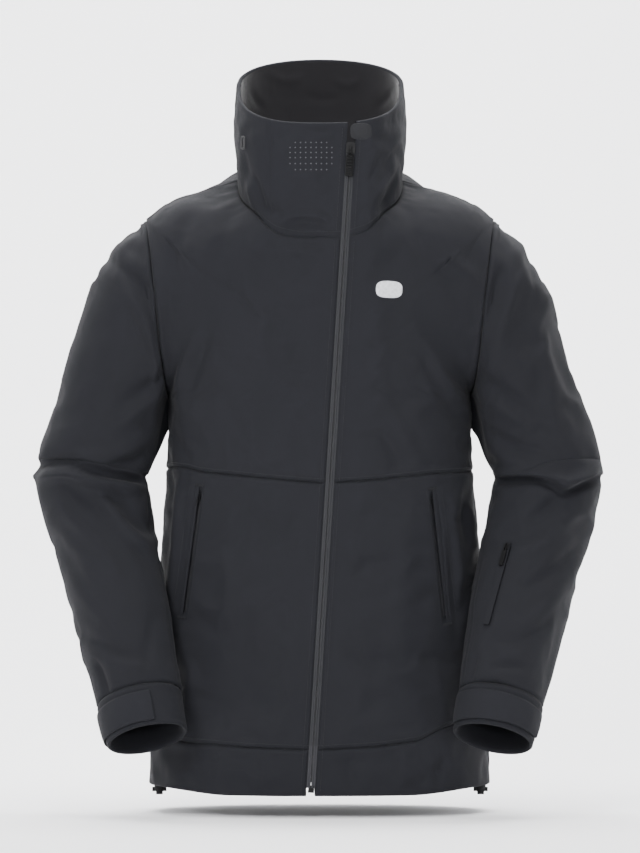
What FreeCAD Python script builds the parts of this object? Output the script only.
# Ski jacket: an asymmetric-zip shell jacket with a tall stand collar, built as separate
# sewn panels, linings, zips, cords and trims.
# Frame: +Z up, the wearer's front faces -Y, the wearer's left is +X.
# Origin: centre of the hem opening, on the hem's plane. Millimetres.
import FreeCAD, Part
import math
import os
from FreeCAD import Matrix, Placement, Rotation, Vector

os.makedirs("parts", exist_ok=True)
doc = FreeCAD.newDocument("ski_jacket")
sheet = doc.addObject("Spreadsheet::Sheet", "dims")

# ---- driving dimensions ------------------------------------------------------------------
DIMENSIONS = {
    # trunk
    "hem_half_width": 213, "waist_half_width": 194, "chest_half_width": 189,
    "shoulder_half_width": 206, "hem_front_depth": 143, "zip_lean": 0.042,
    "hem_back_depth": 132, "section_power": 2.35,
    "neck_half_width": 101, "neck_front": 110, "neck_back": 66, "neck_side_height": 768,
    "shoulder_slope": 0.43,
    # seams and layers
    "waist_seam_height": 397, "hem_seam_height": 52, "armpit_height": 457,
    "shell_thick": 1.6, "lining_thick": 1.0, "layer_gap": 6.0, "seam_gap": 0.5,
    # main zip
    "zip_foot_x": -12.0, "zip_slant": 0.0625, "zip_bottom": 6, "zip_top": 806,
    "zip_window": 5.5, "coil_height": 2.2, "coil_step": 3.0,
    "tape_width": 15, "tape_thick": 0.7,
    "slider_length": 15, "slider_width": 11.5, "slider_plate": 1.3,
    "pull_length": 27, "pull_width": 9, "pull_thick": 2.6,
    # collar and cuffs
    "collar_rim_half_width": 105, "collar_rim_front": 110, "collar_rim_back": 70,
    "collar_front_height": 831, "collar_back_height": 914, "collar_thick": 3.2,
    "cuff_thick": 1.6, "tab_thick": 1.4,
    # pockets, cords and trims
    "pocket_length": 150, "pocket_slider_length": 8, "pocket_slider_width": 6.5,
    "cord_radius": 1.4, "lock_radius": 6.5, "lock_height": 16, "plunger_radius": 4.4,
    "plunger_stroke": 3.5, "loop_eye_radius": 8, "loop_tape_width": 8, "loop_tape_thick": 1.2,
    "sleeve_pocket_length": 112, "badge_radius": 11, "badge_thick": 0.5,
}
for row_number, (alias, value) in enumerate(DIMENSIONS.items(), 1):
    sheet.set("A%d" % row_number, str(value))
    sheet.setAlias("A%d" % row_number, alias)
doc.recompute()


def dim(alias):
    """Value of a driving dimension, read from the spreadsheet."""
    return float(getattr(sheet, alias))


SHELL = dim("shell_thick")
LINING = dim("lining_thick")
INNER_DEPTH = SHELL + dim("layer_gap")     # outer face of the inner layer, below the shell's
GAP = dim("seam_gap")
WAIST_Z = dim("waist_seam_height")
HEM_Z = dim("hem_seam_height")
ARMPIT_Z = dim("armpit_height")
WINDOW = dim("zip_window")                 # zip line to the shell's edge
INNER_WINDOW = 17.0                        # zip line to the edge of facing and collar lining
FAR_X = 420.0                              # clear of the garment's sides
TOP_Z = 900.0                              # clear of the shoulders
FRONT_HALF = (-400.0, -GAP / 2)            # y ranges: the side seams lie on y = 0
BACK_HALF = (GAP / 2, 400.0)
SIDES = (("left", 1), ("right", -1))


# ---- scalar and vector arithmetic --------------------------------------------------------
def mix(a, b, t):
    return a * (1 - t) + b * t


def mix_points(a, b, t):
    return tuple(mix(p, q, t) for p, q in zip(a, b))


def subtract(a, b):
    return (a[0] - b[0], a[1] - b[1], a[2] - b[2])


def dot(a, b):
    return a[0] * b[0] + a[1] * b[1] + a[2] * b[2]


def cross(a, b):
    return (a[1] * b[2] - a[2] * b[1], a[2] * b[0] - a[0] * b[2], a[0] * b[1] - a[1] * b[0])


def unit(a):
    length = math.sqrt(dot(a, a))
    return (a[0] / length, a[1] / length, a[2] / length)


def along(origin, direction, distance):
    return tuple(o + distance * d for o, d in zip(origin, direction))


def smooth_step(a, b, x):
    t = max(0.0, min(1.0, (x - a) / (b - a)))
    return t * t * (3 - 2 * t)


def smooth_min(a, b, blend):
    if blend < 1e-6:
        return min(a, b)
    t = max(0.0, min(1.0, 0.5 + 0.5 * (b - a) / blend))
    return mix(b, a, t) - blend * t * (1 - t)


def smooth_max(a, b, blend):
    return -smooth_min(-a, -b, blend)


def bisect(is_past, low, high, rounds):
    """Where is_past turns true between low and high."""
    for _ in range(rounds):
        middle = 0.5 * (low + high)
        if is_past(middle):
            high = middle
        else:
            low = middle
    return 0.5 * (low + high)


def smooth_curve(stations):
    """Smooth function through (x, y) stations, with end values held."""
    xs, ys = zip(*stations)
    slopes = [0.0] * len(xs)
    for i in range(1, len(xs) - 1):
        before = (ys[i] - ys[i - 1]) / (xs[i] - xs[i - 1])
        after = (ys[i + 1] - ys[i]) / (xs[i + 1] - xs[i])
        if before * after > 0:
            slopes[i] = 2 * before * after / (before + after)

    def curve(x):
        if x <= xs[0]:
            return ys[0]
        if x >= xs[-1]:
            return ys[-1]
        i = 0
        while x > xs[i + 1]:
            i += 1
        span = xs[i + 1] - xs[i]
        t = (x - xs[i]) / span
        return ((2 * t ** 3 - 3 * t * t + 1) * ys[i]
                + (t ** 3 - 2 * t * t + t) * span * slopes[i]
                + (3 * t * t - 2 * t ** 3) * ys[i + 1]
                + (t ** 3 - t * t) * span * slopes[i + 1])
    return curve


# ---- trunk: an implicit solid, zero on the outer face of the shell -----------------------
# (height, half width)
half_width = smooth_curve([
    (0, dim("hem_half_width")), (60, dim("hem_half_width") - 2), (200, 205), (337, 197),
    (400, dim("waist_half_width") - 2.5), (ARMPIT_Z, dim("chest_half_width")), (560, 196),
    (660, dim("shoulder_half_width") - 3), (720, dim("shoulder_half_width")),
    (900, dim("shoulder_half_width"))])
# (height, depth behind the origin)
back_depth = smooth_curve([
    (0, dim("hem_back_depth")), (150, 126), (300, 122), (420, 128), (540, 136),
    (640, 128), (720, 106), (790, 72), (900, 66)])
SECTION_POWER = dim("section_power")
ZIP_LEAN = dim("zip_lean")
HEM_FRONT = dim("hem_front_depth")
NECK_SIDE_Z = dim("neck_side_height")
SHOULDER_SLOPE = dim("shoulder_slope")
ROOF_START_Z = 560      # the shoulders' roof has no effect below this


def front_depth(z):
    return HEM_FRONT - ZIP_LEAN * z


def roof(x, y):
    """Height of the shoulders above x, y: tilted by the neck, rounded over further out."""
    over = abs(x) - 88.0
    fall = 0.5 * (over + math.sqrt(over * over + 30.0 ** 2))
    near_neck = 1 - smooth_step(95, 175, abs(x))
    tilt = (0.50 if y < 0 else 0.26) * y
    rounding = (1 - near_neck) * (y - 6) ** 2 / 260.0
    return NECK_SIDE_Z - SHOULDER_SLOPE * (fall - 8) + near_neck * tilt - rounding


def torso_field(x, y, z):
    width = half_width(z)
    depth = front_depth(z) if y < 0 else back_depth(z)
    scale = ((abs(x) / width) ** SECTION_POWER
             + (abs(y) / depth) ** SECTION_POWER) ** (1 / SECTION_POWER)
    side = math.hypot(x, y) * (1 - 1 / scale) if scale > 1e-6 else -min(width, depth)
    if z < ROOF_START_Z:
        return side
    return smooth_max(side, (z - roof(x, y)) * 0.9, 38.0)


# ---- arm: stations down the axis of the wearer's left sleeve -----------------------------
# (x, y, z, lateral radius, depth radius)
ARM = [
    (112, 5, 638, 88, 82), (160, 5, 637, 87, 81), (200, 4, 612, 82, 78),
    (223, 2, 564, 79, 75.5), (247.5, -1, 506, 73.5, 71), (266, -5, 455, 70, 68),
    (285, -10, 398, 68, 66), (277.5, -24, 342, 66.5, 63), (262.5, -50, 285, 63.5, 60),
    (248, -82, 225, 60.5, 56), (230, -123, 143, 55, 49), (214, -160, 72, 50.5, 42.5),
]
STEPS_PER_STATION = 4


def catmull_rom(points, steps):
    out = []
    for i in range(len(points) - 1):
        window = (points[max(i - 1, 0)], points[i], points[i + 1],
                  points[min(i + 2, len(points) - 1)])
        for k in range(steps):
            t = k / steps
            out.append(tuple(
                0.5 * (2 * b + (c - a) * t + (2 * a - 5 * b + 4 * c - d) * t * t
                       + (3 * b - a - 3 * c + d) * t ** 3)
                for a, b, c, d in zip(*window)))
    out.append(tuple(float(v) for v in points[-1]))
    return out


AXIS = catmull_rom(ARM, STEPS_PER_STATION)
LAST = len(AXIS) - 1
ROOT_SEGMENTS = 28      # axis segments that count toward the trunk and the upper sleeve


def axis_frame(i):
    """Directions at axis station i: down the arm, outward across it, and backward."""
    down = unit(subtract(AXIS[min(i + 1, LAST)], AXIS[max(i - 1, 0)]))
    back = (0.0, 1.0, 0.0)
    back = unit(along(back, down, -dot(back, down)))
    return down, cross(down, back), back


FRAMES = [axis_frame(i) for i in range(LAST + 1)]


def arm_field(x, y, z, segments=ROOT_SEGMENTS):
    nearest = None
    point = (abs(x), y, z)
    for i in range(segments):
        start = AXIS[i]
        step = subtract(AXIS[i + 1], start)
        t = dot(subtract(point, start), step) / dot(step, step)
        t = max(0.0, min(1.0, t))
        away = subtract(point, along(start, step, t))
        square = dot(away, away)
        if nearest is None or square < nearest[0]:
            nearest = (square, i, t, away)
    square, i, t, away = nearest
    down, across, back = FRAMES[i]
    _, next_across, next_back = FRAMES[i + 1]
    u = mix(dot(away, across), dot(away, next_across), t)
    v = mix(dot(away, back), dot(away, next_back), t)
    w = dot(away, down)
    lateral = mix(AXIS[i][3], AXIS[i + 1][3], t)
    depth = mix(AXIS[i][4], AXIS[i + 1][4], t)
    scale = math.sqrt((u / lateral) ** 2 + (v / depth) ** 2 + (w / lateral) ** 2)
    if scale < 1e-4:
        return -lateral
    return math.sqrt(square) * (1 - 1 / scale)


def whole_arm_field(x, y, z):
    return arm_field(x, y, z, LAST)


def joined_field(torso, arm, z):
    """Trunk and arm joined, with a blend that grows from the armpit up."""
    return smooth_min(torso, arm, 46.0 * smooth_step(452, 620, z))


def armhole_x(z):
    return dim_chest + (z - ARMPIT_Z) * 0.115


dim_chest = dim("chest_half_width")


def body_field(x, y, z):
    """The trunk with the root of each arm, closed softly a little outside the armhole."""
    torso = torso_field(x, y, z)
    if z < 440 or abs(x) < 60:
        return torso
    arm = arm_field(x, y, z) + 34.0 * (1 - smooth_step(452, 545, z))
    return smooth_max(joined_field(torso, arm, z), abs(x) - (armhole_x(z) + 11.0), 15.0)


def sleeve_field(x, y, z):
    arm = arm_field(x, y, z)
    if z < 448:
        return arm
    return smooth_max(joined_field(torso_field(x, y, z), arm, z), arm - 24.0, 12.0)


def cast(field, origin, direction, near, far, depth=0.0):
    """Distance along a ray to where it leaves the level lying depth below field = 0."""
    def is_past(distance):
        return field(*along(origin, direction, distance)) + depth > 0

    step = (far - near) / 20.0
    low, high = near, far
    distance = near
    while distance < far:
        if is_past(distance + step):
            low, high = distance, distance + step
            break
        distance += step
    return bisect(is_past, low, high, 13)


# ---- the zip's straight line -------------------------------------------------------------
ZIP_FOOT_X = dim("zip_foot_x")
ZIP_SLANT = dim("zip_slant")
ZIP_DIRECTION = unit((ZIP_SLANT, ZIP_LEAN, 1.0))
ZIP_RISE = ZIP_DIRECTION[2]     # height gained per unit of length along the zip


def zip_x(z):
    return ZIP_FOOT_X + ZIP_SLANT * z


def by_zip(zip_z, across, z=None):
    """Outline point across from the zip's x at zip_z, at height z (zip_z unless given)."""
    return (zip_x(zip_z) + across, zip_z if z is None else z)


def zip_flat(point, depth=0.0):
    """Flattens a front point near the zip on to the zip's plane, so the tapes lie flat."""
    x, y, z = point
    if y > -30:
        return point
    up = smooth_step(630, 700, z)
    weight = 1 - smooth_step(30 - 12 * up, 76 - 26 * up, abs(x - zip_x(z)))
    weight *= 1 - smooth_step(-70, -35, y)
    return (x, mix(y, depth - front_depth(z), weight), z)


# ---- grids of points over the trunk ------------------------------------------------------
FRONT_ANGLES = [math.pi + math.pi * i / 36 for i in range(37)]
BACK_ANGLES = [math.pi * i / 28 for i in range(29)]
RAY_Z = 500.0           # rays to the upper rows fan out from this height
LOW_ROWS = [0, 50, 100, 155, 210, 265, 320, 370, 415, 455, 480, 500]    # heights
# shares of the elevation angle from RAY_Z up to the neck's edge
UPPER_ROWS = [0.1, 0.2, 0.3, 0.4, 0.5, 0.6, 0.7, 0.79, 0.87, 0.94, 1.0]


def neck_oval(angle, wide, front, back):
    """x, y at an angle round a squarish oval with its own front and back depths."""
    c, s = math.cos(angle), math.sin(angle)
    depth, power = (front, 2.8) if s < 0 else (back, 2.2)
    r = 1.0 / ((abs(c) / wide) ** power + (abs(s) / depth) ** power) ** (1 / power)
    return r * c, r * s


neck_points = {}


def neck_point(angle):
    """Point of the neck's edge at an angle; each is worked out once."""
    if angle not in neck_points:
        x, y = neck_oval(angle, dim("neck_half_width"), dim("neck_front"), dim("neck_back"))
        z = bisect(lambda height: torso_field(x, y, height) > 0, ROOF_START_Z, 900.0, 24)
        neck_points[angle] = zip_flat((x, y, z))
    return neck_points[angle]


def low_point(angle, z, depth):
    direction = (math.cos(angle), math.sin(angle), 0)
    distance = cast(body_field, (0, 0, z), direction, 60, 300, depth)
    return zip_flat(along((0, 0, z), direction, distance), depth)


def upper_point(angle, share, depth):
    neck = neck_point(angle)
    rise = math.atan2(neck[2] - RAY_Z, math.hypot(neck[0], neck[1])) * share
    direction = (math.cos(angle) * math.cos(rise), math.sin(angle) * math.cos(rise),
                 math.sin(rise))
    distance = cast(body_field, (0, 0, RAY_Z), direction, 60, 330, depth)
    return zip_flat(along((0, 0, RAY_Z), direction, distance), depth)


def torso_grid(angles, depth):
    rows = [[low_point(angle, z, depth) for angle in angles] for z in LOW_ROWS]
    rows += [[upper_point(angle, share, depth) for angle in angles] for share in UPPER_ROWS]
    return rows


# ---- surfaces and solids -----------------------------------------------------------------
def knots(count, closed):
    """Uniform cubic knots and multiplicities for count poles."""
    if closed:
        return [float(i) for i in range(count + 1)], [1] * (count + 1)
    return [float(i) for i in range(count - 2)], [4] + [1] * (count - 4) + [4]


def spline_surface(grid, closed):
    """A cubic surface whose control net is the grid; rows may be closed rings."""
    surface = Part.BSplineSurface()
    u_knots, u_mults = knots(len(grid), False)
    v_knots, v_mults = knots(len(grid[0]), closed)
    poles = [[Vector(*point) for point in row] for row in grid]
    surface.buildFromPolesMultsKnots(
        poles, u_mults, v_mults, u_knots, v_knots, False, closed, 3, 3)
    return surface


def border_curves(surface, closed):
    u0, u1, v0, v1 = surface.bounds()
    ends = [surface.uIso(u0), surface.uIso(u1)]
    return ends if closed else ends + [surface.vIso(v0), surface.vIso(v1)]


def between(outer, inner, closed=False):
    """A solid sheet between two grids of the same shape."""
    surfaces = [spline_surface(grid, closed) for grid in (outer, inner)]
    faces = [surface.toShape() for surface in surfaces]
    for a, b in zip(*(border_curves(surface, closed) for surface in surfaces)):
        faces.append(Part.makeRuledSurface(a.toShape(), b.toShape()))
    shell = Part.makeShell(faces)
    shell.sewShape()
    solid = Part.makeSolid(shell if shell.ShapeType == "Shell" else shell.Shells[0])
    if solid.Volume < 0:
        solid.reverse()
    return solid


def layer(make_grid, angles, depth, thick):
    return between(make_grid(angles, depth), make_grid(angles, depth + thick))


def prism_xz(outline, y0, y1):
    """A block with its outline in X-Z, between y0 and y1."""
    corners = [Vector(x, y0, z) for x, z in outline]
    wire = Part.makePolygon(corners + corners[:1])
    return Part.Face(wire).extrude(Vector(0, y1 - y0, 0))


def largest_solid(shape):
    return max(shape.Solids, key=lambda solid: solid.Volume)


def swept_solid(shape):
    """The solid of a sweep, which may come back as a bare shell."""
    return largest_solid(shape) if shape.Solids else Part.makeSolid(shape)


def panel(cloth, outline, y_range):
    return largest_solid(cloth.common(prism_xz(outline, *y_range)))


def mirror(shape):
    return shape.mirror(Vector(0, 0, 0), Vector(1, 0, 0))


def box(length, width, height, x, y, z):
    return Part.makeBox(length, width, height, Vector(x, y, z))


def round_edges(block, radius, axis):
    """Fillets the straight edges that run along the axis "y" or "z"."""
    edges = [edge for edge in block.Edges
             if abs(getattr(edge.tangentAt(edge.FirstParameter), axis)) > 0.9]
    return block.makeFillet(radius, edges)


# ---- document objects --------------------------------------------------------------------
parts = {}


def add(kind, name, place=None, **properties):
    """A Part object; a property given as text is bound as an expression."""
    item = doc.addObject("Part::" + kind, name)
    for key, setting in properties.items():
        if isinstance(setting, str):
            item.setExpression(key, setting)
        else:
            setattr(item, key, setting)
    item.Label = name
    if place is not None:
        item.Placement = place
    return item


def add_part(kind, name, place=None, **properties):
    """An object that is exported as one piece of the jacket."""
    parts[name] = add(kind, name, place, **properties)


def keep(name, shape, place=None):
    add_part("Feature", name, place, Shape=shape)


def shift(x, y, z):
    return Placement(Vector(x, y, z), Rotation())


def frame_placement(across, inward, up, origin):
    return Placement(Matrix(
        across.x, inward.x, up.x, origin.x,
        across.y, inward.y, up.y, origin.y,
        across.z, inward.z, up.z, origin.z,
        0, 0, 0, 1))


# ---- trunk panels and lining -------------------------------------------------------------
WAIST_DIP = 6.0             # drop of the waist seam at the zip
BELOW_HEM = -5.0            # cutting outlines start clear below the hem
FACING_FOOT, LINING_FOOT = 12.0, 40.0
FACING_EDGE = 104.0         # zip line to the facing's outer edge
LINING_INSET = 1.0          # lining's edge inside the armhole


def side_path(z0, z1, sign, inset):
    """Outline up a panel's outer side: free below the armpit, on the armhole above it."""
    points = []
    if z0 < ARMPIT_Z:
        points += [(sign * FAR_X, z0), (sign * FAR_X, min(z1, ARMPIT_Z - 1))]
    if z1 > ARMPIT_Z:
        for z in (max(z0, ARMPIT_Z), z1):
            points.append((sign * (armhole_x(z) - inset), z))
    return points


def back_outline(z0, z1, inset=GAP / 2):
    return side_path(z0, z1, 1, inset) + side_path(z0, z1, -1, inset)[::-1]


def build_front():
    shell = layer(torso_grid, FRONT_ANGLES, 0.0, SHELL)
    inner = layer(torso_grid, FRONT_ANGLES, INNER_DEPTH, LINING)
    for side, sign in SIDES:
        window, far = sign * WINDOW, sign * FAR_X
        armhole = side_path(WAIST_Z + GAP, TOP_Z, sign, GAP / 2)
        upper = [by_zip(WAIST_Z + GAP, window, WAIST_Z - WAIST_DIP + GAP),
                 by_zip(TOP_Z, window)] + armhole[::-1]
        lower = [by_zip(HEM_Z, window, HEM_Z + GAP / 2),
                 by_zip(WAIST_Z, window, WAIST_Z - WAIST_DIP - GAP / 2),
                 (far, WAIST_Z - GAP / 2 + 0.2), (far, HEM_Z + GAP / 2)]
        hem = [by_zip(0, window, BELOW_HEM), by_zip(HEM_Z, window, HEM_Z - GAP / 2),
               (far, HEM_Z - GAP / 2), (far, BELOW_HEM)]
        # inner layer: a facing of shell cloth beside the zip, then the lining
        near, edge = sign * INNER_WINDOW, sign * FACING_EDGE
        facing = [by_zip(FACING_FOOT, near), by_zip(TOP_Z, near),
                  by_zip(TOP_Z, edge), by_zip(FACING_FOOT, edge)]
        edge = sign * (FACING_EDGE + GAP)
        lining = [by_zip(LINING_FOOT, edge), by_zip(TOP_Z, edge)]
        lining += side_path(LINING_FOOT, TOP_Z, sign, LINING_INSET)[::-1]
        for name, cloth, outline in (
                ("front_panel_%s_upper", shell, upper), ("front_panel_%s_lower", shell, lower),
                ("hem_band_%s", shell, hem), ("front_facing_%s", inner, facing),
                ("lining_front_%s", inner, lining)):
            keep(name % side, panel(cloth, outline, FRONT_HALF))


def build_back():
    shell = layer(torso_grid, BACK_ANGLES, 0.0, SHELL)
    inner = layer(torso_grid, BACK_ANGLES, INNER_DEPTH, LINING)
    hem = back_outline(BELOW_HEM, HEM_Z - GAP / 2)
    keep("hem_band_back", panel(shell, hem, BACK_HALF))
    keep("back_panel", panel(shell, back_outline(HEM_Z + GAP / 2, TOP_Z), BACK_HALF))
    lining = back_outline(LINING_FOOT, TOP_Z, LINING_INSET)
    keep("lining_back", panel(inner, lining, BACK_HALF))


# ---- collar ------------------------------------------------------------------------------
COLLAR_THICK = dim("collar_thick")
COLLAR_SHELL = 1.5
COLLAR_LINING_DEPTH = COLLAR_THICK + 2.0
COLLAR_START = 0.035        # share of the collar's height left open above the neck's edge
COLLAR_BULGE = 4.0
COLLAR_SEAM_X = -62.0       # seam between the front panel and the right panel
# cutting outlines: clear below the neck, above the front, above the back
COLLAR_Z0, COLLAR_Z1, COLLAR_BACK_Z1 = 600, 950, 980


def rim_point(angle):
    front, back = dim("collar_rim_front"), dim("collar_rim_back")
    x, y = neck_oval(angle, dim("collar_rim_half_width"), front, back)
    z0, z1 = dim("collar_front_height"), dim("collar_back_height")
    return (x, y, z0 + (z1 - z0) * (y + front) / (front + back))


def collar_grid(angles, depth, rows=6):
    out = []
    for i in range(rows):
        t = COLLAR_START + (1 - COLLAR_START) * i / (rows - 1)
        bulge = COLLAR_BULGE * math.sin(math.pi * t) - depth
        line = []
        for angle in angles:
            x, y, z = mix_points(neck_point(angle), rim_point(angle), t)
            point = (x + bulge * math.cos(angle), y + bulge * math.sin(angle), z)
            line.append(zip_flat(point, depth))
        out.append(line)
    return out


def collar_outline(left_x, right_x, top=COLLAR_Z1):
    """Outline between two edges; each is an x, or a function of height."""
    def edge(x, z):
        return (x(z) if callable(x) else x, z)

    return [edge(left_x, COLLAR_Z0), edge(right_x, COLLAR_Z0),
            edge(right_x, top), edge(left_x, top)]


def beside_zip(across):
    return lambda z: zip_x(z) + across


def build_collar():
    front = layer(collar_grid, FRONT_ANGLES, 0.0, COLLAR_SHELL)
    back = layer(collar_grid, BACK_ANGLES, 0.0, COLLAR_SHELL)
    front_inner = layer(collar_grid, FRONT_ANGLES, COLLAR_LINING_DEPTH, LINING)
    back_inner = layer(collar_grid, BACK_ANGLES, COLLAR_LINING_DEPTH, LINING)
    middle = collar_outline(COLLAR_SEAM_X + GAP / 2, beside_zip(-WINDOW))
    keep("collar_front_panel", panel(front, middle, (-400, 0)))
    right = collar_outline(COLLAR_SEAM_X - GAP / 2, -FAR_X)
    keep("collar_right_panel", panel(front, right, FRONT_HALF))
    left = collar_outline(beside_zip(WINDOW), FAR_X)
    keep("collar_left_panel", panel(front, left, FRONT_HALF))
    rear = collar_outline(-FAR_X, FAR_X, COLLAR_BACK_Z1)
    keep("collar_back_panel", panel(back, rear, BACK_HALF))
    right = collar_outline(-FAR_X, beside_zip(-INNER_WINDOW))
    left = collar_outline(beside_zip(INNER_WINDOW), FAR_X)
    keep("collar_lining", Part.makeCompound([
        panel(front_inner, right, FRONT_HALF), panel(front_inner, left, FRONT_HALF),
        panel(back_inner, rear, BACK_HALF)]))


# ---- sleeves -----------------------------------------------------------------------------
# stations are places along AXIS, and may be fractional
ELBOW = 24.0
CUFF_SEAM = 41.2
BLEND_END = 17          # stations before this follow the blend with the trunk
UPPER_SLEEVE = [0, 1.5, 3, 4.5, 6, 7.5, 9, 10.5, 12, 14, 16, 18.5, 21, ELBOW - 0.12]
LOWER_SLEEVE = [ELBOW + 0.12, 26, 28, 30, 32, 34, 36, 38, 40, CUFF_SEAM - 0.08]
CUFF = [CUFF_SEAM + 0.08, 41.9, 42.6, 43.3, 44]
SLEEVE_LINING = [4, 6, 8, 10.5, 13, 16, 19, 22, 25, 28, 31, 34, 37, 40, 42, 43.5]
RING_ANGLES = [2 * math.pi * k / 22 for k in range(22)]


def ring(station, depth, field=None, angles=RING_ANGLES):
    """Points round the left sleeve, depth below its outer face.

    Angle 0 is outward, a quarter turn is backward. With no field the section is the oval.
    """
    i = min(int(station), LAST - 1)
    t = station - i
    centre = mix_points(AXIS[i], AXIS[i + 1], t)
    down = unit(mix_points(FRAMES[i][0], FRAMES[i + 1][0], t))
    back = unit(mix_points(FRAMES[i][2], FRAMES[i + 1][2], t))
    across = unit(cross(down, back))
    back = cross(across, down)
    out = []
    for angle in angles:
        c, s = math.cos(angle), math.sin(angle)
        direction = tuple(a * c + b * s for a, b in zip(across, back))
        if field is None:
            radius = 1.0 / math.sqrt((c / centre[3]) ** 2 + (s / centre[4]) ** 2)
        else:
            radius = cast(field, centre[:3], direction, 30, 135)
        out.append(along(centre[:3], direction, radius - depth))
    return out


def tube(stations, depth, thick):
    """A sleeve tube, open at both ends."""
    outer, inner = (
        [ring(i, level, sleeve_field if i < BLEND_END else None) for i in stations]
        for level in (depth, depth + thick))
    return between(outer, inner, True)


def keep_pair(name, shape):
    keep(name + "_left", shape)
    keep(name + "_right", mirror(shape))


def build_sleeves():
    # the trunk side of the armhole is cut away from the upper sleeve and its lining
    trunk = prism_xz([
        (-50, 425), (193.0, 425), (193.0, ARMPIT_Z + 1),
        (armhole_x(ARMPIT_Z + 1) + GAP / 2, ARMPIT_Z + 1),
        (armhole_x(TOP_Z) + GAP / 2, TOP_Z), (-50, TOP_Z)], -300, 300)
    keep_pair("sleeve_upper", largest_solid(tube(UPPER_SLEEVE, 0.0, SHELL).cut(trunk)))
    keep_pair("sleeve_lower", tube(LOWER_SLEEVE, 0.0, SHELL))
    keep_pair("cuff", tube(CUFF, 0.0, dim("cuff_thick")))
    trunk = prism_xz([
        (-50, 430), (armhole_x(430) + 3, 430), (armhole_x(TOP_Z) + 3, TOP_Z),
        (-50, TOP_Z)], -300, 300)
    lining = tube(SLEEVE_LINING, SHELL + 4.0, LINING)
    keep_pair("sleeve_lining", largest_solid(lining.cut(trunk)))


def grid_normals(grid):
    """Unit normals of a grid of points, by central differences."""
    rows, columns = len(grid), len(grid[0])
    out = []
    for r in range(rows):
        line = []
        for c in range(columns):
            down = subtract(grid[min(r + 1, rows - 1)][c], grid[max(r - 1, 0)][c])
            across = subtract(grid[r][min(c + 1, columns - 1)], grid[r][max(c - 1, 0)])
            line.append(unit(cross(across, down)))
        out.append(line)
    return out


def offset(grid, normals, distance):
    """The grid moved against its normals."""
    return [[along(point, normal, -distance) for point, normal in zip(*rows)]
            for rows in zip(grid, normals)]


def sleeve_strip(first, last, start, end, height, thick, rows, columns):
    """A curved strip over the left sleeve, between two stations and two angles in degrees.

    Its outer face stands height above the sleeve.
    """
    angles = [math.radians(start + (end - start) * c / (columns - 1)) for c in range(columns)]
    grid = [ring(first + (last - first) * r / (rows - 1), 0.0, angles=angles)
            for r in range(rows)]
    normals = grid_normals(grid)
    if dot(normals[0][0], subtract(grid[0][0], AXIS[int(first)][:3])) < 0:
        normals = [[(-a, -b, -c) for a, b, c in line] for line in normals]
    return between(offset(grid, normals, -height), offset(grid, normals, thick - height))


def build_cuff_tabs():
    """A tab over each cuff, with a loop patch under the end at its larger angle."""
    tab_thick = dim("tab_thick")
    for side, start, end in (("left", 190, 352), ("right", 250, 410)):
        tab = sleeve_strip(41.7, 43.75, start, end, 1.5 + tab_thick, tab_thick, 6, 28)
        patch = sleeve_strip(41.95, 43.5, end - 40, end + 34, 0.5, 0.4, 4, 10)
        for name, shape in (("cuff_tab_", tab), ("cuff_loop_patch_", patch)):
            keep(name + side, shape if side == "left" else mirror(shape))


# ---- main zip ----------------------------------------------------------------------------
# local frame on the zip line: X across, Y inward (away from the viewer), Z up the zip
ZIP_UP = Vector(*ZIP_DIRECTION)
ZIP_ACROSS = Vector(0, 1, 0).cross(ZIP_UP)
ZIP_ACROSS.normalize()
ZIP_INWARD = ZIP_UP.cross(ZIP_ACROSS)
ZIP_INWARD.normalize()


def zip_place(z, across=0.0, inward=0.0):
    """The zip frame at height z, moved across and inward."""
    origin = Vector(zip_x(z), -front_depth(z), z)
    origin = origin + ZIP_ACROSS * across + ZIP_INWARD * inward
    return frame_placement(ZIP_ACROSS, ZIP_INWARD, ZIP_UP, origin)


ZIP_BOTTOM, ZIP_TOP = dim("zip_bottom"), dim("zip_top")
ZIP_LENGTH = (ZIP_TOP - ZIP_BOTTOM) / ZIP_RISE
COIL_HEIGHT = dim("coil_height")
SLIDER_LENGTH, SLIDER_WIDTH = dim("slider_length"), dim("slider_width")
SLIDER_PLATE = dim("slider_plate")
# y levels in the zip frame
TAPE_Y = SHELL + 0.15
COIL_Y = TAPE_Y + dim("tape_thick") + 0.1
SLIDER_FRONT_Y = -0.35      # back of the front plate, just in front of the cloth
SLIDER_BACK_Y = COIL_Y + COIL_HEIGHT + 0.5
PIN_Y = SLIDER_FRONT_Y - SLIDER_PLATE - 0.95    # the puller's pin, under the bail
SLIDER_Z = ZIP_TOP - 4.4    # centre of the slider with the zip closed
BAIL_LENGTH = 6.2
GARAGE_TOP = 845.0


def build_zip_halves():
    step = dim("coil_step")
    for side, sign in SIDES:
        tape_x = 0.25 if sign > 0 else -0.25 - dim("tape_width")
        add_part("Box", "zip_tape_" + side, zip_place(ZIP_BOTTOM + 6, tape_x, TAPE_Y),
                 Length="dims.tape_width", Width="dims.tape_thick", Height=ZIP_LENGTH - 6)
        # a carrier cord with one small element every step, on the back of the tape
        carrier = box(1.0, COIL_HEIGHT - 0.6, ZIP_LENGTH - 12,
                      1.6 if sign > 0 else -2.6, 0.3, 10)
        tooth_x, tooth_z = (-1.0, 11) if sign > 0 else (-1.7, 11 + step / 2)
        teeth = [box(2.7, COIL_HEIGHT, 1.15, tooth_x, 0, tooth_z + k * step)
                 for k in range(int((ZIP_LENGTH - 16) / step))]
        keep("zip_teeth_" + side, largest_solid(carrier.multiFuse(teeth)),
             zip_place(ZIP_BOTTOM, 0, COIL_Y))


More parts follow.
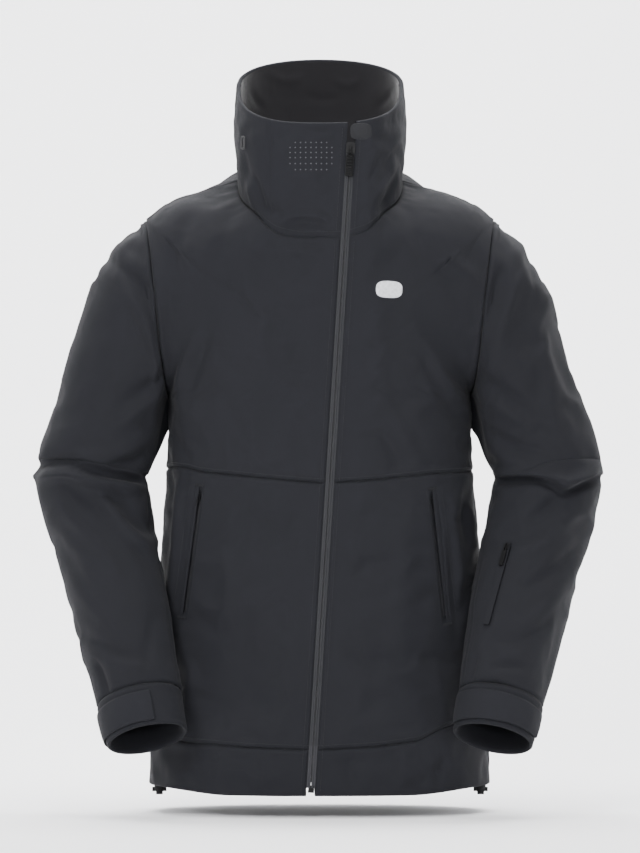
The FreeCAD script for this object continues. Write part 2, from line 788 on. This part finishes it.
def build_main_slider():
    """Two plates joined by a post, a bail in front and flanges at the sides."""
    width, length, plate = SLIDER_WIDTH, SLIDER_LENGTH, SLIDER_PLATE
    face_y = SLIDER_FRONT_Y - plate
    front = box(width, plate, length, -width / 2, face_y, -length / 2)
    front = round_edges(front, width * 0.28, "y")
    back_width = width - 3.0
    back = box(back_width, plate, length, -back_width / 2, SLIDER_BACK_Y, -length / 2)
    back = round_edges(back, back_width * 0.28, "y")
    post = box(1.1, SLIDER_BACK_Y - SLIDER_FRONT_Y + 0.4, 2.4,
               -2.2, SLIDER_FRONT_Y - 0.2, length / 2 - 2.5)
    bail_top = length / 2 - 3.4
    bail_foot = bail_top - BAIL_LENGTH
    bail = [box(1.2, 2.1, 1.3, -0.6, face_y - 1.9, bail_top),
            box(1.2, 2.1, 1.3, -0.6, face_y - 1.9, bail_foot),
            box(1.2, 0.9, BAIL_LENGTH + 1.3, -0.6, face_y - 2.8, bail_foot)]
    slider = front.multiFuse([back, post] + bail).removeSplitter()
    for x in (-4.2, 3.1):
        flange = box(1.1, 2.3, length - 3, x, SLIDER_BACK_Y - 2.2, -length / 2 + 1.5)
        slider = slider.fuse(flange)
    keep("main_slider", largest_solid(slider.removeSplitter()), zip_place(SLIDER_Z))


def puller(width, length, thick, reach, cheek):
    """A pull on a round pin at the origin: a grooved bar hung reach below it on two arms."""
    pin = Part.makeCylinder(0.75, 2 * cheek + 2.4, Vector(-cheek - 1.2, 0, 0), Vector(1, 0, 0))
    solids = []
    for x in (-cheek - 1.2, cheek):
        solids.append(box(1.2, 1.6, reach + 0.6, x, -0.8, -reach - 0.6))
        solids.append(Part.makeCylinder(0.8, 1.2, Vector(x, 0, 0), Vector(1, 0, 0)))
    bar = box(width, thick, length, -width / 2, -thick / 2, -reach - length)
    bar = bar.makeFillet(thick * 0.32, bar.Edges)
    grooves = [box(width + 2, 0.5, 1.0, -width / 2 - 1, y, -reach - length * 0.28 - k * 2.2)
               for k in range(6) for y in (-thick / 2 - 0.2, thick / 2 - 0.3)]
    bar = bar.cut(Part.makeCompound(grooves))
    return largest_solid(pin.multiFuse(solids + [bar]).removeSplitter())


def build_main_puller():
    pull = puller(dim("pull_width"), dim("pull_length"), dim("pull_thick"), 10.0, 1.0)
    keep("main_puller", pull, zip_place(SLIDER_Z + 1.6 * ZIP_RISE, 0, PIN_Y))


def build_zip_foot():
    """The box and pin at the foot of the zip."""
    retainer = box(7.7, 4.4, 9.0, -3.2, 1.1, -4.0)
    slot = box(3.0, 2.4, 9.2, -3.3, 2.2, -3.0)
    keep("zip_retainer_box", largest_solid(retainer.cut(slot)), zip_place(ZIP_BOTTOM))
    pin = Part.makeCylinder(0.8, 8.8, Vector(-1.35, 3.4, -2.7), Vector(0, 0, 1))
    foot = box(5.0, 0.8, 3.6, -6.6, 3.0, 5.6)
    bridge = box(2.6, 0.8, 0.9, -3.9, 3.0, 5.4)
    keep("zip_insertion_pin", largest_solid(pin.multiFuse([foot, bridge]).removeSplitter()),
         zip_place(ZIP_BOTTOM))


def build_zip_garage():
    """A folded tab over the collar's edge, above the closed slider."""
    foot_z = SLIDER_Z + (SLIDER_LENGTH / 2 + 1.2) * ZIP_RISE
    height = GARAGE_TOP - foot_z
    outer = box(21.0, 1.1, height, 0.4, -1.5, 0)
    inner = box(21.0, 1.1, height, 0.4, 7.6, 0)
    fold = box(21.0, 10.2, 1.1, 0.4, -1.5, height - 1.1)
    keep("zip_garage", largest_solid(outer.multiFuse([inner, fold]).removeSplitter()),
         zip_place(foot_z))


def build_storm_flap():
    """The wind flap behind the zip."""
    foot_z, top_z = 14, 785
    add_part("Box", "storm_flap", zip_place(foot_z, -12, 9.6),
             Length=29, Width="dims.lining_thick", Height=(top_z - foot_z) / ZIP_RISE)


# ---- frames on the garment's front -------------------------------------------------------
def front_y(x, z, field):
    """The first point of the field met at x, z coming from in front."""
    low = high = -330.0
    while high < 60 and field(x, high, z) > 0:
        low, high = high, high + 6.0
    y = bisect(lambda depth: field(x, depth, z) <= 0, low, high, 20)
    return zip_flat((x, y, z))[1] if field is body_field else y


def chord_frame(x0, z0, x1, z1, lift=0.0, field=body_field):
    """Placement at the middle of a line drawn on the front, clear of the surface by lift.

    X runs across, Y inward, Z up the line.
    """
    start = Vector(x0, front_y(x0, z0, field), z0)
    end = Vector(x1, front_y(x1, z1, field), z1)
    up = end - start
    up.normalize()
    mid_x, mid_z = (x0 + x1) / 2, (z0 + z1) / 2
    reach = 7.0
    y_change = front_y(mid_x + reach, mid_z, field) - front_y(mid_x - reach, mid_z, field)
    inward = up.cross(Vector(2 * reach, y_change, 0))
    inward.normalize()
    if inward.y < 0:
        inward = inward * -1
    across = inward.cross(up)
    across.normalize()
    inward = up.cross(across)
    # furthest that the surface stands in front of the chord
    rise = 0.0
    for k in range(1, 16):
        chord = start + (end - start) * (k / 16.0)
        surface = Vector(chord.x, front_y(chord.x, chord.z, field), chord.z)
        rise = min(rise, (surface - chord).dot(inward))
    origin = (start + end) * 0.5 + inward * (rise - lift)
    return frame_placement(across, inward, up, origin)


# ---- hand pockets ------------------------------------------------------------------------
POCKET = dim("pocket_length")
# ends of each opening: (x, z) at the bottom, (x, z) at the top
POCKETS = {"left": (158.0, 214.0, 140.5, 372.0), "right": (-171.5, 222.0, -151.0, 376.0)}
POCKET_TAPE_Y = 3.6         # depth of the pocket zips' tapes in the opening's frame
BAG_DEPTH, BAG_THICK = 6.6, 0.7


def pocket_zip_half(sign, place):
    """Tape and coil on one side of a pocket's opening."""
    foot = -POCKET / 2 + 1
    tape = box(6.2, 0.5, POCKET - 2, 0.8 if sign > 0 else -7.0, POCKET_TAPE_Y, foot)
    coil = box(1.3, 1.1, POCKET - 4, 0.8 if sign > 0 else -2.1, POCKET_TAPE_Y + 0.4, foot + 1)
    half = tape.fuse(coil).removeSplitter()
    half.Placement = place
    return half


def pocket_slider():
    """A slider with a short moulded tab, at the upper end of the opening under the welt."""
    length, width = dim("pocket_slider_length"), dim("pocket_slider_width")
    z = POCKET / 2 - length / 2 - 2.0
    front = box(width, 0.8, length, -width / 2, 1.3, z - length / 2)
    back = box(width - 1.4, 0.6, length, -width / 2 + 0.7, POCKET_TAPE_Y + 1.7, z - length / 2)
    post = box(1.0, POCKET_TAPE_Y + 0.9, 1.8, -0.5, 1.6, z + length / 2 - 2.0)
    tab = box(3.4, 1.0, 13.0, -1.7, -0.2, z + 1.0 - 13.0)
    neck = box(2.0, 0.8, 2.0, -1.0, 0.7, z - 1.0)
    return largest_solid(front.multiFuse([back, post, tab, neck]).removeSplitter())


def build_pockets():
    bags, chains = [], []
    bag_layer = layer(torso_grid, FRONT_ANGLES, BAG_DEPTH, BAG_THICK)
    for side, sign in SIDES:
        x0, z0, x1, z1 = POCKETS[side]
        place = chord_frame(x0, z0, x1, z1)
        front_panel = parts["front_panel_%s_lower" % side]
        hole = box(8.6, 12.0, POCKET, -4.3, -6.0, -POCKET / 2)
        hole.Placement = place
        front_panel.Shape = largest_solid(front_panel.Shape.cut(hole))
        # the welt stands in front of the opening
        welt = box(15.0, 1.1, POCKET + 12, -10.5 if sign > 0 else -4.5, -3.6, -POCKET / 2 - 6)
        keep("pocket_welt_" + side, round_edges(welt, 0.45, "z"), place)
        chains += [pocket_zip_half(half, place) for half in (1, -1)]
        keep("pocket_slider_" + side, pocket_slider(), place)
        # flat pouch between shell and lining, reaching from the opening toward the zip
        outline = [(x0 + sign * 8, z0 - 24), (x1 + sign * 10, z1 + 6),
                   (x1 - sign * 96, z1 + 2), (x0 - sign * 112, z0 - 20)]
        bags.append(panel(bag_layer, outline, FRONT_HALF))
    keep("pocket_zip_chains", Part.makeCompound(chains))
    keep("pocket_bags", Part.makeCompound(bags))


# ---- hem cord and its locks --------------------------------------------------------------
CORD_RADIUS = dim("cord_radius")
LOCK_X = 202.0
CORD_Z = 4.0
LOCK_EYE_Z = 9.0            # the cord's height above the foot of the lock
PLUNGER_CORD_Z = 13.0       # the cord's height above the foot of the plunger
CORD_INSET = 9.5            # cord inside the shell's outer face
CORD_END_YS = (-24, -14, -4, 6, 14, 19)


def build_hem_cord():
    """A cord straight through each lock, then round the back inside the hem."""
    back = []
    for k in range(1, 24):
        angle = math.pi * k / 24
        direction = (math.cos(angle), math.sin(angle), 0)
        distance = cast(torso_field, (0, 0, CORD_Z), direction, 60, 300, CORD_INSET)
        if distance * direction[1] > 26:
            back.append(Vector(*along((0, 0, CORD_Z), direction, distance)))
    curve = Part.BSplineCurve()
    curve.interpolate([Vector(LOCK_X, y, CORD_Z) for y in CORD_END_YS] + back
                      + [Vector(-LOCK_X, y, CORD_Z) for y in CORD_END_YS[::-1]])
    start = curve.FirstParameter
    section = Part.makeCircle(CORD_RADIUS, curve.value(start), curve.tangent(start)[0])
    sweep = Part.BRepOffsetAPI.MakePipeShell(Part.Wire([curve.toShape()]))
    sweep.setBiNormalMode(Vector(0, 0, 1))
    sweep.add(Part.Wire([section]), False, False)
    sweep.build()
    sweep.makeSolid()
    cord = sweep.shape()
    if cord.Volume < 0:
        cord.reverse()
    keep("hem_drawcord", swept_solid(cord))


def build_cord_lock(side, sign):
    name = "hem_cord_lock_" + side
    barrel = add("Cylinder", name + "_barrel",
                 Radius="dims.lock_radius", Height="dims.lock_height")
    wings = add("Box", name + "_wings", shift(-(dim("lock_radius") + 2.5), -2.3, 0),
                Length="dims.lock_radius * 2 + 5", Width=4.6,
                Height="dims.lock_height * 0.32")
    body = add("Fuse", name + "_body", Base=barrel, Tool=wings)
    bore = add("Cylinder", name + "_bore",
               Radius="dims.plunger_radius + 0.3", Height="dims.lock_height - 2")
    hollow = add("Cut", name + "_hollow", Base=body, Tool=bore)
    eye = add("Cylinder", name + "_eye",
              Placement(Vector(0, 20, LOCK_EYE_Z), Rotation(Vector(1, 0, 0), 90)),
              Radius="dims.cord_radius + 0.4", Height=40)
    add_part("Cut", name, shift(sign * LOCK_X, 0, CORD_Z - LOCK_EYE_Z), Base=hollow, Tool=eye)


def build_plunger(side, sign):
    name = "hem_plunger_" + side
    half_slot = CORD_RADIUS + 0.3
    stem = add("Cylinder", name + "_stem",
               Radius="dims.plunger_radius", Height="dims.lock_height - 2.4")
    slot_z = PLUNGER_CORD_Z - dim("plunger_stroke") - half_slot
    slot = add("Box", name + "_slot", shift(-half_slot, -10, slot_z),
               Length="(dims.cord_radius + 0.3) * 2", Width=20,
               Height="(dims.cord_radius + 0.3) * 2 + dims.plunger_stroke")
    add_part("Cut", name, shift(sign * LOCK_X, 0, CORD_Z - PLUNGER_CORD_Z),
             Base=stem, Tool=slot)


# ---- small trims -------------------------------------------------------------------------
def cord_ring(width, length, radius):
    """A closed stadium of cord in the X-Z plane, sized over its outline's centre line."""
    a, h = width / 2, (length - width) / 2
    path = Part.Wire([
        Part.LineSegment(Vector(a, 0, -h), Vector(a, 0, h)).toShape(),
        Part.Arc(Vector(a, 0, h), Vector(0, 0, h + a), Vector(-a, 0, h)).toShape(),
        Part.LineSegment(Vector(-a, 0, h), Vector(-a, 0, -h)).toShape(),
        Part.Arc(Vector(-a, 0, -h), Vector(0, 0, -h - a), Vector(a, 0, -h)).toShape()])
    section = Part.Wire([Part.makeCircle(radius, Vector(a, 0, -h), Vector(0, 0, 1))])
    return swept_solid(path.makePipeShell([section], True, False))


def build_collar_loop():
    """A small loop of cord on the front of the collar, on the wearer's right."""
    x, z = -95.0, 809.0
    grid = collar_grid([math.pi + math.pi * i / 90 for i in range(91)], 0.0, 24)
    nearest = min((point for row in grid for point in row),
                  key=lambda point: (point[0] - x) ** 2 + (point[2] - z) ** 2)
    outward = Vector(-0.62, -0.78, 0)
    keep("collar_cord_loop", cord_ring(5.2, 15.0, 1.1),
         Placement(Vector(x, nearest[1], z) + outward * 2.0, Rotation(Vector(0, 0, 1), -48)))


def build_badge():
    """A plain oval badge on the wearer's left chest."""
    half_bar = 6
    shapes = [add("Box", "badge_bar", shift(-half_bar, -dim("badge_radius"), 0),
                  Length=2 * half_bar, Width="dims.badge_radius * 2",
                  Height="dims.badge_thick")]
    for name, x in (("badge_end_a", -half_bar), ("badge_end_b", half_bar)):
        shapes.append(add("Cylinder", name, shift(x, 0, 0),
                          Radius="dims.badge_radius", Height="dims.badge_thick"))
    upright = Placement(Vector(0, -1.3, 0), Rotation(Vector(1, 0, 0), 90))
    place = chord_frame(86.0, 614.0, 86.0, 638.0).multiply(upright)
    add_part("MultiFuse", "chest_badge", place, Shapes=shapes)


def build_hanger_loop():
    """An eye of tape inside the back of the neck, on a flat strip at the collar's lining."""
    eye_radius = dim("loop_eye_radius")
    eye_y = (dim("collar_rim_back") - COLLAR_THICK - 5.4 - eye_radius
             - dim("loop_tape_thick"))
    outer = add("Cylinder", "loop_outer",
                Radius="dims.loop_eye_radius + dims.loop_tape_thick",
                Height="dims.loop_tape_width")
    inner = add("Cylinder", "loop_inner", shift(0, 0, -2),
                Radius="dims.loop_eye_radius", Height="dims.loop_tape_width * 2")
    strip = add("Box", "loop_tab", shift(-15, eye_radius, 0),
                Length=30, Width="dims.loop_tape_thick", Height="dims.loop_tape_width")
    body = add("Fuse", "loop_ring", Base=outer, Tool=strip)
    add_part("Cut", "hanger_loop", shift(0, eye_y, 806 - dim("loop_tape_width") / 2),
             Base=body, Tool=inner)


def build_sleeve_pocket():
    """A zip strip, slider and pull on the wearer's left forearm."""
    length = dim("sleeve_pocket_length")
    frame = chord_frame(208.5, 216.0, 233.5, 304.0, 1.0, whole_arm_field)
    add_part("Box", "sleeve_pocket_zip", frame.multiply(shift(-4.5, -1.2, -length / 2)),
             Length=9.0, Width=0.9, Height="dims.sleeve_pocket_length")
    slider_z = length / 2 - 6.0
    plate = round_edges(box(6.6, 1.0, 9.0, -3.3, -2.5, -4.5), 1.6, "y")
    bail = [box(1.0, 2.1, 1.1, -0.5, -4.4, 1.4), box(1.0, 2.1, 1.1, -0.5, -4.4, -3.4),
            box(1.0, 0.9, 5.9, -0.5, -5.3, -3.4)]
    keep("sleeve_pocket_slider", largest_solid(plate.multiFuse(bail).removeSplitter()),
         frame.multiply(shift(0, 0, slider_z)))
    keep("sleeve_pocket_pull", puller(6.0, 20.0, 1.8, 6.5, 0.75),
         frame.multiply(shift(0, -3.45, slider_z - 0.45)))


# ---- build, check and export -------------------------------------------------------------
build_front()
build_back()
build_collar()
build_sleeves()
build_cuff_tabs()
build_zip_halves()
build_main_slider()
build_main_puller()
build_zip_foot()
build_zip_garage()
build_storm_flap()
build_pockets()         # after the front, whose lower panels it opens
build_hem_cord()
for side, sign in SIDES:
    build_cord_lock(side, sign)
    build_plunger(side, sign)
build_collar_loop()
build_badge()
build_hanger_loop()
build_sleeve_pocket()

doc.recompute()
bad = [item.Label for item in doc.Objects
       if any(state in ("Invalid", "Error") for state in item.State)]
for name, item in parts.items():
    shape = item.Shape
    if shape.isNull() or not shape.isValid() or shape.Volume <= 0:
        bad.append(name)
if bad:
    raise RuntimeError("not sound: " + ", ".join(bad))
for name, item in parts.items():
    item.Shape.exportStep("parts/%s.step" % name)
